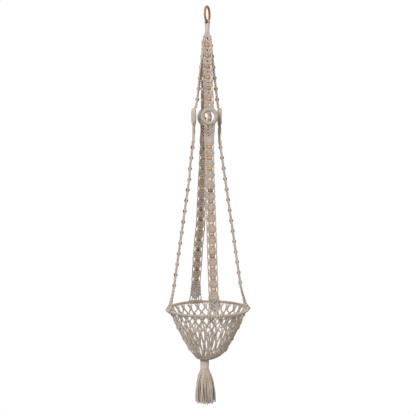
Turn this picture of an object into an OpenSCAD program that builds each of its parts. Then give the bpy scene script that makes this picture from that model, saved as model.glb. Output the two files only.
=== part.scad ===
// Hanging macrame planter: a wooden ring, a wrapped neck, four knotted and beaded arms with
// a cord-wrapped medallion on each, a wrapped hoop rim, a knotted basket and a tassel.
// The origin is the seat for a hook: the inner top of the wooden ring. +Z is up, millimetres.

/* [Hanging ring] */
// Radius from the ring's centre to the middle of its rod
ring_centre_r = 29; // [26:0.5:34]
// Radius of the ring's turned wooden rod
ring_rod_r = 4.5; // [4:0.5:6]
// Direction that the flat of the ring lies along, in degrees from +X
ring_plane_azimuth = 58; // [0:5:175]

/* [Cord and beads] */
// Radius of the wooden beads
bead_r = 8; // [7:0.5:9]
// Radius of the hole drilled through each bead
bead_bore_r = 2.5; // [2.4:0.1:3]
// Radius of the cord that a bead is threaded on
bead_cord_r = 2.4; // [2:0.1:2.4]

/* [Loops and neck] */
// Radius of the wad of cord loops folded over the ring
loop_wad_r = 10.5; // [9.5:0.5:12]
// Length of the wad along the ring's rod
loop_wad_len = 24; // [18:1:28]
// Outer radius of the wrapped neck
neck_r = 9.8; // [9:0.1:11]
// Radius of the bundle of cords inside the neck wrap
neck_core_r = 7.6; // [6:0.1:8]
// Length of the neck below the ring's rod
neck_len = 39; // [32:1:48]

/* [Arms] */
// Directions of the front, right, back and left arms down to their chevrons, set by hand and
// so not quite square, in degrees from +X
arm_azimuths = [-94.5, -1.5, 88, 182];
// Directions of the same arms from the chevrons to the rim
foot_azimuths = [-94.5, -1.5, 94, 182];
// Thickness of a knotted band
band_t = 8; // [5:0.5:8]
// Width of the band above the medallion
upper_w = 34; // [30:1:36]
// Width of the band below the medallion
lower_w = 39; // [36:1:44]
// Width of the chevron panel between the medallion and the lower band
chevron_w = 44; // [38:1:48]
// Width of the foot that ties each band to the rim
foot_w = 44; // [38:1:48]
// Distance from one bead to the next along the height
bead_pitch = 41; // [38:1:44]
// Beads above each medallion
upper_beads_n = 6; // [4:1:6]
// Beads below each medallion
lower_beads_n = 14; // [10:1:14]
// Outward lean of each upper band, as a rise in radius for each unit of height
upper_leans = [0.108, 0.108, 0.108, 0.125];
// Distance of each lower band's first bead from the middle axis
lower_first_reaches = [52.7, 52.7, 52.7, 57];

/* [Medallions] */
// Distance of each medallion from the middle axis
medallion_reaches = [49, 49, 49, 54];
// How far the face of each medallion is turned from facing straight out
face_turns = [-8, -13, -50, -12];
// Radius from the medallion's centre to the middle of its tube
medallion_centre_r = 26.5; // [24:0.5:28]
// Radius of the cord-wrapped tube
medallion_wrap_r = 8.2; // [7:0.1:9]
// Radius of the wooden ring's rod inside the wrapping
medallion_rod_r = 4.5; // [3.5:0.5:5]

/* [Rim] */
// Radius from the middle axis to the middle of the rim hoop
rim_centre_r = 156; // [150:1:160]
// Radius of the rim's inner hoop rod
hoop_rod_r = 2.5; // [2:0.5:3.5]
// Radius of the cord-wrapped rim
rim_wrap_r = 5.5; // [5:0.5:7]

/* [Basket and tassel] */
// Thickness of the knotted net
net_t = 4; // [3:0.5:6]
// Radius of the tassel's wrapped collar
collar_r = 17.5; // [15:0.5:17.5]
// Radius of the tassel skirt at its widest
skirt_r = 42; // [38:1:44]
// How far the rim and basket hang off the middle axis, along X and Y
basket_offset = [3, -1];
// How far the tassel hangs off the middle axis
tassel_offset = [-10, 2.5];

/* [Hidden] */
$fn = 96;
clear = 0.1;     // between pieces that stay together
run = 0.4;       // between pieces that move on each other

// Heights down the planter
ring_z = -ring_centre_r + ring_rod_r;
rod_z = ring_z - ring_centre_r;
neck_bottom_z = rod_z - neck_len;
upper_first_z = -143;
medallion_z = -414;
medallion_bead_z = medallion_z - 6.5;
chevron_bottom_z = -505;
lower_first_z = -531;
foot_top_z = -1083;
rim_z = -1162;
net_bottom_z = -1304;
gather_bottom_z = -1364;
collar_pivot_z = gather_bottom_z - 1.5 - collar_r;
collar_bottom_z = -1401;
skirt_dome_r = 19;
skirt_pivot_z = collar_bottom_z - 1 - skirt_dome_r;
skirt_bottom_z = -1536;

// Distance of a band's middle from the axis at height z
upper_first_reach = 14.5;
foot_top_reach = 136;
function upper_reach(i, z) = upper_first_reach + upper_leans[i] * (upper_first_z - z);
function lower_lean(i) =
    (foot_top_reach - lower_first_reaches[i]) / (lower_first_z - foot_top_z);
function lower_reach(i, z) = lower_first_reaches[i] + lower_lean(i) * (lower_first_z - z);
mitre_angle = 41;  // each band keeps inside this angle either side of its own direction
window_r = bead_r + run;

// Outside of the net from the rim down, as [radius, height]
net_profile = [[150, -1170], [134, -1201], [122, -1235], [103, -1270], [85.5, -1303.8]];
gather_profile = [[85, net_bottom_z - 0.2], [66, -1333], [46, -1352], [22, gather_bottom_z]];
skirt_profile = [[skirt_dome_r, skirt_pivot_z], [28, -1430], [33, -1445], [skirt_r - 7, -1457],
                 [skirt_r - 2, -1488], [skirt_r, -1519], [skirt_r - 3, skirt_bottom_z]];

ARMS = ["front", "right", "back", "left"];

// A ring of round section lying flat: centre_r to the middle of its tube, hollow if bore_r is set
module round_ring(centre_r, tube_r, bore_r = 0) {
    rotate_extrude()
        translate([centre_r, 0]) difference() {
            circle(tube_r);
            if (bore_r > 0) circle(bore_r);
        }
}

// Turns and lifts its children into the hanging ring's place: the ring's axis lies level
module at_ring_centre() {
    translate([0, 0, ring_z]) rotate([0, 0, ring_plane_azimuth]) rotate([90, 0, 0]) children();
}

// Turns its children about the ring's rod at the bottom of the ring, its local Z along the rod
module at_rod_bottom() {
    translate([0, 0, rod_z]) rotate([0, 0, ring_plane_azimuth]) rotate([0, 90, 0]) children();
}

// An arm's own space: +X points out from the axis
module on_arm(i) {
    rotate([0, 0, arm_azimuths[i]]) children();
}

// The same for the part of an arm below its chevron
module on_foot(i) {
    rotate([0, 0, foot_azimuths[i]]) children();
}

// The middle axis of the rim and basket, and of the tassel
module on_basket() {
    translate(basket_offset) children();
}

module on_tassel() {
    translate(tassel_offset) children();
}

// A flat panel that runs from one radius and height down to another, its ends cut level
module panel(top, bottom, width) {
    rotate([90, 0, 0]) linear_extrude(width, center = true)
        polygon([top - [band_t / 2, 0], top + [band_t / 2, 0],
                 bottom + [band_t / 2, 0], bottom - [band_t / 2, 0]]);
}

// Places its children at each bead down a band, tilted with the band
module at_beads(count, first_reach, first_z, lean) {
    for (k = [0 : count - 1])
        translate([first_reach + lean * bead_pitch * k, 0, first_z - bead_pitch * k])
            rotate([0, -atan(lean), 0]) children();
}

module at_upper_beads(i) {
    at_beads(upper_beads_n, upper_first_reach, upper_first_z, upper_leans[i]) children();
}

module at_lower_beads(i) {
    at_beads(lower_beads_n, lower_first_reaches[i], lower_first_z, lower_lean(i)) children();
}

module bead() {
    difference() {
        sphere(bead_r);
        cylinder(r = bead_bore_r, h = 2 * bead_r + 2, center = true);
    }
}

// The round window that a bead sits in, and the cord that crosses it
module window() {
    rotate([0, 90, 0]) cylinder(r = window_r, h = 2 * band_t, center = true);
}

module window_cord() {
    cylinder(r = bead_cord_r, h = 2 * window_r + 1, center = true);
}

module medallion_tube(i, tube_r, bore_r = 0) {
    translate([medallion_reaches[i], 0, medallion_z]) rotate([0, 0, face_turns[i]])
        rotate([0, 90, 0]) round_ring(medallion_centre_r, tube_r, bore_r);
}

// A turned skin from its outside profile: the inside follows it, net_t away
module turned_skin(profile) {
    inner = [for (i = [len(profile) - 1 : -1 : 0]) profile[i] + [-net_t, 0]];
    rotate_extrude() polygon(concat(profile, inner));
}

module hanging_ring() {
    color("peru") at_ring_centre() round_ring(ring_centre_r, ring_rod_r);
}

module ring_loops() {
    color("linen") difference() {
        at_rod_bottom() cylinder(r = loop_wad_r, h = loop_wad_len, center = true);
        at_ring_centre() round_ring(ring_centre_r, ring_rod_r + run);
    }
}

module neck_core() {
    color("antiquewhite") difference() {
        translate([0, 0, neck_bottom_z])
            cylinder(r = neck_core_r, h = neck_len - loop_wad_r / 2);
        at_rod_bottom() cylinder(r = loop_wad_r + run, h = 4 * neck_r, center = true);
    }
}

module neck_wrap() {
    color("linen") difference() {
        translate([0, 0, neck_bottom_z]) cylinder(r = neck_r, h = neck_len - loop_wad_r / 2);
        translate([0, 0, neck_bottom_z - 1]) cylinder(r = neck_core_r + clear, h = neck_len + 2);
        at_rod_bottom() cylinder(r = loop_wad_r + run, h = 4 * neck_r, center = true);
    }
}

module upper_band(i) {
    top_z = neck_bottom_z - run;
    bottom_z = medallion_z + medallion_centre_r;
    reach = 2 * medallion_reaches[i];
    color("linen") on_arm(i) intersection() {
        difference() {
            union() {
                difference() {
                    panel([upper_reach(i, top_z), top_z], [upper_reach(i, bottom_z), bottom_z],
                          upper_w);
                    at_upper_beads(i) window();
                }
                at_upper_beads(i) window_cord();
            }
            medallion_tube(i, medallion_wrap_r + clear);
        }
        translate([0, 0, bottom_z - 1]) linear_extrude(top_z - bottom_z + 2)
            polygon([[0, 0], reach * [1, -tan(mitre_angle)], reach * [1, tan(mitre_angle)]]);
    }
}

module upper_beads(i) {
    color("burlywood") on_arm(i) at_upper_beads(i) bead();
}

module medallion_ring(i) {
    color("peru") on_arm(i) medallion_tube(i, medallion_rod_r);
}

module medallion_wrap(i) {
    color("linen") on_arm(i) medallion_tube(i, medallion_wrap_r, medallion_rod_r + clear);
}

module medallion_cord(i) {
    inside_r = medallion_centre_r - medallion_wrap_r;
    color("antiquewhite") on_arm(i) translate([medallion_reaches[i], 0, medallion_z])
        cylinder(r = bead_cord_r, h = 2 * inside_r + 4, center = true);
}

module medallion_bead(i) {
    color("burlywood") on_arm(i) translate([medallion_reaches[i], 0, medallion_bead_z]) bead();
}

module chevron(i) {
    top_z = medallion_z - medallion_centre_r;
    color("linen") on_arm(i) difference() {
        panel([medallion_reaches[i], top_z],
              [lower_reach(i, chevron_bottom_z), chevron_bottom_z], chevron_w);
        medallion_tube(i, medallion_wrap_r + clear);
    }
}

module lower_band(i) {
    top_z = chevron_bottom_z;
    color("linen") on_foot(i) union() {
        difference() {
            panel([lower_reach(i, top_z), top_z], [foot_top_reach, foot_top_z], lower_w);
            at_lower_beads(i) window();
        }
        at_lower_beads(i) window_cord();
    }
}

module lower_beads(i) {
    color("burlywood") on_foot(i) at_lower_beads(i) bead();
}

// The foot runs down to the rim and grips it in a lobe of wrapped cord
module foot(i) {
    lobe_r = rim_wrap_r + 2;
    reach = rim_centre_r + basket_offset * [cos(foot_azimuths[i]), sin(foot_azimuths[i])];
    color("linen") union() {
        difference() {
            on_foot(i) panel([foot_top_reach, foot_top_z], [reach, rim_z], foot_w);
            on_basket() translate([0, 0, rim_z]) round_ring(rim_centre_r, rim_wrap_r + clear);
        }
        intersection() {
            on_basket() translate([0, 0, rim_z])
                round_ring(rim_centre_r, lobe_r, rim_wrap_r + clear);
            on_foot(i) translate([reach, 0, rim_z])
                cube([4 * lobe_r, foot_w, 4 * lobe_r], center = true);
        }
    }
}

module rim_hoop() {
    color("tan") on_basket() translate([0, 0, rim_z]) round_ring(rim_centre_r, hoop_rod_r);
}

module rim_wrap() {
    color("linen") on_basket() translate([0, 0, rim_z])
        round_ring(rim_centre_r, rim_wrap_r, hoop_rod_r + clear);
}

module basket_net() {
    color("antiquewhite") on_basket() turned_skin(net_profile);
}

// The cords draw together below the last row of knots and close the basket
module basket_gather() {
    floor_t = 6;
    color("antiquewhite") on_basket() union() {
        turned_skin(gather_profile);
        translate([0, 0, gather_bottom_z]) cylinder(r = 22, h = floor_t);
    }
}

// The bundle of cords inside the collar, rounded at the top where it hangs from the basket
module tassel_core() {
    color("antiquewhite") on_tassel() union() {
        translate([0, 0, collar_bottom_z])
            cylinder(r = collar_r - 5, h = collar_pivot_z - collar_bottom_z + 1);
        translate([0, 0, collar_pivot_z]) intersection() {
            sphere(collar_r);
            cylinder(r = collar_r + 1, h = collar_r + 1);
        }
    }
}

module tassel_collar() {
    color("linen") on_tassel() difference() {
        translate([0, 0, collar_bottom_z])
            cylinder(r1 = collar_r - 2, r2 = collar_r, h = collar_pivot_z - collar_bottom_z - clear);
        translate([0, 0, collar_bottom_z - 1]) cylinder(r = collar_r - 5 + clear, h = 2 * collar_r);
    }
}

module tassel_skirt() {
    color("antiquewhite") on_tassel() union() {
        rotate_extrude() polygon(concat(skirt_profile, [[0, skirt_bottom_z], [0, skirt_pivot_z]]));
        translate([0, 0, skirt_pivot_z]) intersection() {
            sphere(skirt_dome_r);
            translate([0, 0, -1]) cylinder(r = skirt_dome_r + 1, h = skirt_dome_r + 2);
        }
    }
}

hanging_ring();
ring_loops();
neck_core();
neck_wrap();
for (i = [0 : 3]) upper_band(i);
for (i = [0 : 3]) upper_beads(i);
for (i = [0 : 3]) medallion_ring(i);
for (i = [0 : 3]) medallion_wrap(i);
for (i = [0 : 3]) medallion_cord(i);
for (i = [0 : 3]) medallion_bead(i);
for (i = [0 : 3]) chevron(i);
for (i = [0 : 3]) lower_band(i);
for (i = [0 : 3]) lower_beads(i);
for (i = [0 : 3]) foot(i);
rim_hoop();
rim_wrap();
basket_net();
basket_gather();
tassel_core();
tassel_collar();
tassel_skirt();
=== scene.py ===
# A hanging macrame planter of knotted cotton cord, with varnished beads, a hoop rim and a tassel.
# Everything is in metres, with the hook seat at the origin and the middle axis along Z.
import math
import random

import bpy
import numpy as np
from mathutils import Euler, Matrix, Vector


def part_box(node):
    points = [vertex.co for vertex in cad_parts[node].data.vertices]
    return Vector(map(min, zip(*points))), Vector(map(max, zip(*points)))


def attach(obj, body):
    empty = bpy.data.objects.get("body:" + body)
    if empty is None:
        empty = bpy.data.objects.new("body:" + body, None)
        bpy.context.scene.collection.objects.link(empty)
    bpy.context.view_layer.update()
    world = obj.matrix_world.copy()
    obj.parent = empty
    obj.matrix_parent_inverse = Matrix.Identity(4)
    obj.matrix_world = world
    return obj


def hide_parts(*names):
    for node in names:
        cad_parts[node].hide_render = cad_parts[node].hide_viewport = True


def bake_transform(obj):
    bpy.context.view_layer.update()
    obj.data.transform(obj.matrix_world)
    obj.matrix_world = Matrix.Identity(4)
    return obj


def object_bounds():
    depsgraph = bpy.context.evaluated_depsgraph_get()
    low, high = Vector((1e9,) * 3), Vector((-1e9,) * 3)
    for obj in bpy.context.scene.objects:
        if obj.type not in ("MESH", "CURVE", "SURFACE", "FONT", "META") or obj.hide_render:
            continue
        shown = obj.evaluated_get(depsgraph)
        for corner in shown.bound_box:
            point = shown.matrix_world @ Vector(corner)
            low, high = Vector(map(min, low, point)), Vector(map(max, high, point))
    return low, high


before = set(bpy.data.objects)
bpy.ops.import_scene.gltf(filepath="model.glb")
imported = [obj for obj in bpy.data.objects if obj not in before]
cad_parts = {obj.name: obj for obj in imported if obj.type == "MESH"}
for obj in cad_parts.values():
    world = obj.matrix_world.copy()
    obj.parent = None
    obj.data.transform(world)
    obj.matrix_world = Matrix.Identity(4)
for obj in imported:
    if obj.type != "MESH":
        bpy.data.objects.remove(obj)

cad_lowest, cad_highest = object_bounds()

# ---------------------------------------------------------------- Camera and studio
# A long lens a little below the middle of the height, turned round the planter's left,
# a floor below the tassel that only looks white, and a large soft light from the front left.
camera_turn = math.radians(14.5)
camera_distance = 3.404
camera_height = -0.504
camera_fall = 0.077
camera_data = bpy.data.cameras.new("camera")
camera_data.lens = 76.1
camera_data.sensor_width = 36.0
camera_data.shift_x = 0.0019
camera = bpy.data.objects.new("camera", camera_data)
camera.location = (
    -camera_distance * math.sin(camera_turn),
    -camera_distance * math.cos(camera_turn),
    camera_height,
)
camera.rotation_euler = Euler((math.pi / 2 - camera_fall, 0, -camera_turn))
bpy.context.scene.collection.objects.link(camera)
bpy.context.scene.camera = camera
bpy.context.scene.view_settings.view_transform = "Standard"


def soft_light(name, place, aim, size, power, tint):
    """A square area light at place, turned to face aim."""
    data = bpy.data.lights.new(name, "AREA")
    data.size = size
    data.energy = power
    data.color = tint
    lamp = bpy.data.objects.new(name, data)
    lamp.location = place
    lamp.rotation_euler = (Vector(aim) - Vector(place)).to_track_quat("-Z", "Y").to_euler()
    bpy.context.scene.collection.objects.link(lamp)


soft_light("key", (-2.1, -2.9, 1.2), (0, 0, -0.8), 1.3, 122, (1.0, 0.98, 0.96))
soft_light("fill", (2.6, -1.6, 0.3), (0, 0, -0.9), 1.8, 12, (1.0, 0.97, 0.94))

world = bpy.data.worlds.new("studio")
bpy.context.scene.world = world
world.use_nodes = True
sky = world.node_tree
sky.nodes["Background"].inputs["Color"].default_value = (1.0, 0.975, 0.95, 1)
sky.nodes["Background"].inputs["Strength"].default_value = 0.72
backdrop = sky.nodes.new("ShaderNodeBackground")
backdrop.inputs["Color"].default_value = (1, 1, 1, 1)
ray = sky.nodes.new("ShaderNodeLightPath")
choose = sky.nodes.new("ShaderNodeMixShader")
sky.links.new(ray.outputs["Is Camera Ray"], choose.inputs["Fac"])
sky.links.new(sky.nodes["Background"].outputs["Background"], choose.inputs[1])
sky.links.new(backdrop.outputs["Background"], choose.inputs[2])
sky.links.new(choose.outputs["Shader"], sky.nodes["World Output"].inputs["Surface"])

floor_z = cad_lowest.z - 0.25
floor_half = 40.0
floor_mesh = bpy.data.meshes.new("floor")
floor_corners = [
    (x * floor_half, y * floor_half, floor_z) for x, y in [(-1, -1), (1, -1), (1, 1), (-1, 1)]
]
floor_mesh.from_pydata(floor_corners, [], [(0, 1, 2, 3)])
floor = bpy.data.objects.new("floor", floor_mesh)
bpy.context.scene.collection.objects.link(floor)
floor_paint = bpy.data.materials.new("floor_paint")
floor_paint.use_nodes = True
floor_tree = floor_paint.node_tree
floor_shader = floor_tree.nodes["Principled BSDF"]
floor_shader.inputs["Base Color"].default_value = (0.38, 0.36, 0.34, 1)
floor_shader.inputs["Roughness"].default_value = 0.9
seen_white = floor_tree.nodes.new("ShaderNodeEmission")
floor_ray = floor_tree.nodes.new("ShaderNodeLightPath")
floor_choose = floor_tree.nodes.new("ShaderNodeMixShader")
floor_tree.links.new(floor_ray.outputs["Is Camera Ray"], floor_choose.inputs["Fac"])
floor_tree.links.new(floor_shader.outputs["BSDF"], floor_choose.inputs[1])
floor_tree.links.new(seen_white.outputs["Emission"], floor_choose.inputs[2])
floor_tree.links.new(floor_choose.outputs["Shader"], floor_tree.nodes["Material Output"].inputs["Surface"])
floor_mesh.materials.append(floor_paint)

# ---------------------------------------------------------------- Hanging ring
# A turned wooden ring with a satin varnish, which goes over the hook. The CAD shape stays,
# and takes a grain that runs in long streaks with darker pores.


def shader_group(name, inputs, outputs):
    """An empty shader group with float or vector inputs and float or colour outputs."""
    tree = bpy.data.node_groups.new(name, "ShaderNodeTree")
    for label, kind, value in inputs:
        made = tree.interface.new_socket(label, in_out="INPUT", socket_type="NodeSocket" + kind)
        if value is not None:
            made.default_value = value
    for label, kind in outputs:
        tree.interface.new_socket(label, in_out="OUTPUT", socket_type="NodeSocket" + kind)
    return tree, tree.nodes.new("NodeGroupInput"), tree.nodes.new("NodeGroupOutput")


def maths(tree, operation, first, second=None, clamp=False):
    """A Math node on links or numbers, returning its output."""
    step = tree.nodes.new("ShaderNodeMath")
    step.operation = operation
    step.use_clamp = clamp
    for index, value in enumerate((first, second)):
        if isinstance(value, (int, float)):
            step.inputs[index].default_value = value
        elif value is not None:
            tree.links.new(value, step.inputs[index])
    return step.outputs["Value"]


grain, grain_in, grain_out = shader_group(
    "wood_grain",
    [("Vector", "Vector", None), ("Scale", "Float", 60.0), ("Pore Depth", "Float", 0.5)],
    [("Figure", "Float"), ("Height", "Float")],
)
streak = grain.nodes.new("ShaderNodeTexNoise")
streak.inputs["Detail"].default_value = 4.0
streak.inputs["Distortion"].default_value = 0.6
pore = grain.nodes.new("ShaderNodeTexNoise")
pore.inputs["Detail"].default_value = 2.0
grain.links.new(grain_in.outputs["Vector"], streak.inputs["Vector"])
grain.links.new(grain_in.outputs["Vector"], pore.inputs["Vector"])
grain.links.new(grain_in.outputs["Scale"], streak.inputs["Scale"])
grain.links.new(maths(grain, "MULTIPLY", grain_in.outputs["Scale"], 7.0), pore.inputs["Scale"])
figure = maths(grain, "MULTIPLY_ADD", streak.outputs["Fac"], 2.2, True)
figure.node.inputs[2].default_value = -0.6
pores = maths(grain, "MULTIPLY", pore.outputs["Fac"], grain_in.outputs["Pore Depth"])
grain.links.new(figure, grain_out.inputs["Figure"])
grain.links.new(maths(grain, "SUBTRACT", figure, pores), grain_out.inputs["Height"])


def varnished_wood(name, stops, tone_attribute, scale, stretch):
    """Varnished wood: stops are (place, colour) along the tone, which the grain shifts."""
    made = bpy.data.materials.new(name)
    made.use_nodes = True
    tree = made.node_tree
    shader = tree.nodes["Principled BSDF"]
    where = tree.nodes.new("ShaderNodeTexCoord")
    place = tree.nodes.new("ShaderNodeMapping")
    place.inputs["Scale"].default_value = stretch
    wood = tree.nodes.new("ShaderNodeGroup")
    wood.node_tree = grain
    wood.inputs["Scale"].default_value = scale
    tree.links.new(where.outputs["Object"], place.inputs["Vector"])
    tree.links.new(place.outputs["Vector"], wood.inputs["Vector"])
    grain_shift = maths(tree, "MULTIPLY_ADD", wood.outputs["Figure"], 0.3)
    grain_shift.node.inputs[2].default_value = -0.15
    if tone_attribute:
        tone = tree.nodes.new("ShaderNodeAttribute")
        tone.attribute_name = tone_attribute
        shade = maths(tree, "ADD", tone.outputs["Fac"], grain_shift)
    else:
        shade = maths(tree, "ADD", grain_shift, 0.5)
    ramp = tree.nodes.new("ShaderNodeValToRGB")
    while len(ramp.color_ramp.elements) < len(stops):
        ramp.color_ramp.elements.new(0.5)
    for element, (position, colour) in zip(ramp.color_ramp.elements, stops):
        element.position = position
        element.color = (*colour, 1)
    tree.links.new(shade, ramp.inputs["Fac"])
    tree.links.new(ramp.outputs["Color"], shader.inputs["Base Color"])
    shader.inputs["Coat Weight"].default_value = 0.35
    shader.inputs["Coat Roughness"].default_value = 0.22
    rough = maths(tree, "MULTIPLY_ADD", wood.outputs["Figure"], 0.15)
    rough.node.inputs[2].default_value = 0.36
    tree.links.new(rough, shader.inputs["Roughness"])
    bump = tree.nodes.new("ShaderNodeBump")
    bump.inputs["Strength"].default_value = 0.25
    bump.inputs["Distance"].default_value = 0.0004
    tree.links.new(wood.outputs["Height"], bump.inputs["Height"])
    tree.links.new(bump.outputs["Normal"], shader.inputs["Normal"])
    return made


ring_wood = varnished_wood(
    "ring_wood",
    [(0.0, (0.50, 0.27, 0.12)), (0.5, (0.32, 0.15, 0.058)), (1.0, (0.11, 0.045, 0.018))],
    None, 45.0, (1.0, 1.0, 0.35),
)


def refinish(node, material):
    """Gives a CAD node that keeps its shape a finished material."""
    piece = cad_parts[node]
    piece.data.materials.clear()
    piece.data.materials.append(material)


refinish("hanging_ring", ring_wood)

# ---------------------------------------------------------------- Cord loops on the ring
# Eight cotton cords are folded over the ring side by side, and their sixteen ends run down
# through the neck. Each is a three-ply twist, and a little fuzzy.
cord_r = 0.00175
cord_sides = 6

laid, laid_in, laid_out = shader_group(
    "laid_cord",
    [("UV", "Vector", None), ("Plies", "Float", 3.0), ("Lay", "Float", 0.011)],
    [("Ply", "Float"), ("Height", "Float")],
)
split_uv = laid.nodes.new("ShaderNodeSeparateXYZ")
laid.links.new(laid_in.outputs["UV"], split_uv.inputs["Vector"])
turns_round = maths(laid, "MULTIPLY", split_uv.outputs["X"], laid_in.outputs["Plies"])
turns_along = maths(laid, "DIVIDE", split_uv.outputs["Y"], laid_in.outputs["Lay"])
ply_angle = maths(laid, "MULTIPLY", maths(laid, "ADD", turns_round, turns_along), math.pi)
ply = maths(laid, "ABSOLUTE", maths(laid, "SINE", ply_angle))
fibre_place = laid.nodes.new("ShaderNodeCombineXYZ")
laid.links.new(maths(laid, "MULTIPLY", turns_round, 3.0), fibre_place.inputs["X"])
laid.links.new(maths(laid, "MULTIPLY", split_uv.outputs["Y"], 900.0), fibre_place.inputs["Y"])
fibre = laid.nodes.new("ShaderNodeTexNoise")
fibre.inputs["Scale"].default_value = 1.5
laid.links.new(fibre_place.outputs["Vector"], fibre.inputs["Vector"])
fuzz = maths(laid, "MULTIPLY", fibre.outputs["Fac"], 0.45)
laid.links.new(ply, laid_out.inputs["Ply"])
laid.links.new(maths(laid, "ADD", ply, fuzz), laid_out.inputs["Height"])


def cotton(name, light, dark):
    """Twisted cotton: paler on the plies, darker between them as painted shade in the grooves, and patchy
    from strand to strand.
    """
    made = bpy.data.materials.new(name)
    made.use_nodes = True
    tree = made.node_tree
    shader = tree.nodes["Principled BSDF"]
    route = tree.nodes.new("ShaderNodeUVMap")
    route.uv_map = "UVMap"
    twist = tree.nodes.new("ShaderNodeGroup")
    twist.node_tree = laid
    tree.links.new(route.outputs["UV"], twist.inputs["UV"])
    strand = tree.nodes.new("ShaderNodeAttribute")
    strand.attribute_name = "strand"
    where = tree.nodes.new("ShaderNodeTexCoord")
    patch = tree.nodes.new("ShaderNodeTexNoise")
    patch.inputs["Scale"].default_value = 38.0
    patch.inputs["Detail"].default_value = 3.0
    tree.links.new(where.outputs["Object"], patch.inputs["Vector"])
    patchy = maths(tree, "MULTIPLY", patch.outputs["Fac"], 0.35)
    uneven = maths(tree, "MULTIPLY_ADD", strand.outputs["Fac"], 0.3)
    tree.links.new(patchy, uneven.node.inputs[2])
    # Darker in the ply grooves: painted shade where the plies meet, added to the random strand-to-strand
    # and patchy tone.
    groove_shade_and_tone = maths(tree, "MULTIPLY_ADD", twist.outputs["Ply"], 0.4)
    tree.links.new(uneven, groove_shade_and_tone.node.inputs[2])
    blend = tree.nodes.new("ShaderNodeMix")
    blend.data_type = "RGBA"
    blend.inputs["A"].default_value = (*dark, 1)
    blend.inputs["B"].default_value = (*light, 1)
    tree.links.new(groove_shade_and_tone, blend.inputs["Factor"])
    tree.links.new(blend.outputs["Result"], shader.inputs["Base Color"])
    shader.inputs["Roughness"].default_value = 0.92
    shader.inputs["Specular IOR Level"].default_value = 0.2
    shader.inputs["Sheen Weight"].default_value = 0.25
    shader.inputs["Sheen Roughness"].default_value = 0.6
    bump = tree.nodes.new("ShaderNodeBump")
    bump.inputs["Strength"].default_value = 0.6
    bump.inputs["Distance"].default_value = 0.0006
    tree.links.new(twist.outputs["Height"], bump.inputs["Height"])
    tree.links.new(bump.outputs["Normal"], shader.inputs["Normal"])
    return made


# The second colour of each cotton is the painted shade in its ply grooves; the wrap's is close to its
# first, so its painted shade is faint.
cotton_cord = cotton("cotton_cord", (0.65, 0.58, 0.51), (0.25, 0.19, 0.145))
cotton_wrap = cotton("cotton_wrap", (0.66, 0.60, 0.54), (0.58, 0.52, 0.46))


def node_tree_inputs(tree):
    """The identifier of each input socket, by the name it shows."""
    sockets = [s for s in tree.interface.items_tree if s.item_type == "SOCKET"]
    return {s.name: s.identifier for s in sockets if s.in_out == "INPUT"}


def geometry_tree(name, inputs):
    """A Geometry Nodes tree with a geometry in, the named inputs and a geometry out."""
    tree = bpy.data.node_groups.new(name, "GeometryNodeTree")
    tree.interface.new_socket("Geometry", in_out="INPUT", socket_type="NodeSocketGeometry")
    for label, kind, value in inputs:
        made = tree.interface.new_socket(label, in_out="INPUT", socket_type="NodeSocket" + kind)
        if value is not None:
            made.default_value = value
    tree.interface.new_socket("Geometry", in_out="OUTPUT", socket_type="NodeSocketGeometry")
    return tree, tree.nodes.new("NodeGroupInput"), tree.nodes.new("NodeGroupOutput")


def keep_value(tree, geometry, name, value, kind="FLOAT", domain="POINT"):
    """Stores a field on the geometry under a name, and returns the geometry."""
    store = tree.nodes.new("GeometryNodeStoreNamedAttribute")
    store.data_type = kind
    store.domain = domain
    store.inputs["Name"].default_value = name
    tree.links.new(geometry, store.inputs["Geometry"])
    tree.links.new(value, store.inputs["Value"])
    return store.outputs["Geometry"]


def read_value(tree, name):
    """Reads a named float attribute."""
    read = tree.nodes.new("GeometryNodeInputNamedAttribute")
    read.data_type = "FLOAT"
    read.inputs["Name"].default_value = name
    return read.outputs["Attribute"]


def dress_and_end(tree, geometry, given, out):
    """Ends a tree: instances made real, the material set."""
    real = tree.nodes.new("GeometryNodeRealizeInstances")
    dress = tree.nodes.new("GeometryNodeSetMaterial")
    tree.links.new(geometry, real.inputs["Geometry"])
    tree.links.new(real.outputs["Geometry"], dress.inputs["Geometry"])
    tree.links.new(given.outputs["Material"], dress.inputs["Material"])
    tree.links.new(dress.outputs["Geometry"], out.inputs["Geometry"])


# The swept cord: each chain of edges becomes a round cord, with U round it and V along it
sweep, sweep_in, sweep_out = geometry_tree(
    "swept_cord",
    [("Radius", "Float", cord_r), ("Sides", "Int", cord_sides), ("Material", "Material", None)],
)
chain = sweep.nodes.new("GeometryNodeMeshToCurve")
sweep.links.new(sweep_in.outputs["Geometry"], chain.inputs["Mesh"])
length_along = sweep.nodes.new("GeometryNodeSplineParameter")
route_curve = keep_value(sweep, chain.outputs["Curve"], "along", length_along.outputs["Length"])
section = sweep.nodes.new("GeometryNodeCurvePrimitiveCircle")
sweep.links.new(sweep_in.outputs["Radius"], section.inputs["Radius"])
sweep.links.new(sweep_in.outputs["Sides"], section.inputs["Resolution"])
corner_number = sweep.nodes.new("GeometryNodeInputIndex")
share_round = maths(sweep, "DIVIDE", corner_number.outputs["Index"], sweep_in.outputs["Sides"])
section_curve = keep_value(sweep, section.outputs["Curve"], "round", share_round)
skin = sweep.nodes.new("GeometryNodeCurveToMesh")
skin.inputs["Fill Caps"].default_value = True
sweep.links.new(route_curve, skin.inputs["Curve"])
sweep.links.new(section_curve, skin.inputs["Profile Curve"])
face_share = sweep.nodes.new("GeometryNodeFieldOnDomain")
face_share.domain = "FACE"
sweep.links.new(read_value(sweep, "round"), face_share.inputs[0])
seam_edge = maths(sweep, "SUBTRACT", face_share.outputs[0], 0.25)
past_seam = maths(sweep, "LESS_THAN", read_value(sweep, "round"), seam_edge)
uv_value = sweep.nodes.new("ShaderNodeCombineXYZ")
sweep.links.new(maths(sweep, "ADD", read_value(sweep, "round"), past_seam), uv_value.inputs["X"])
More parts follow.
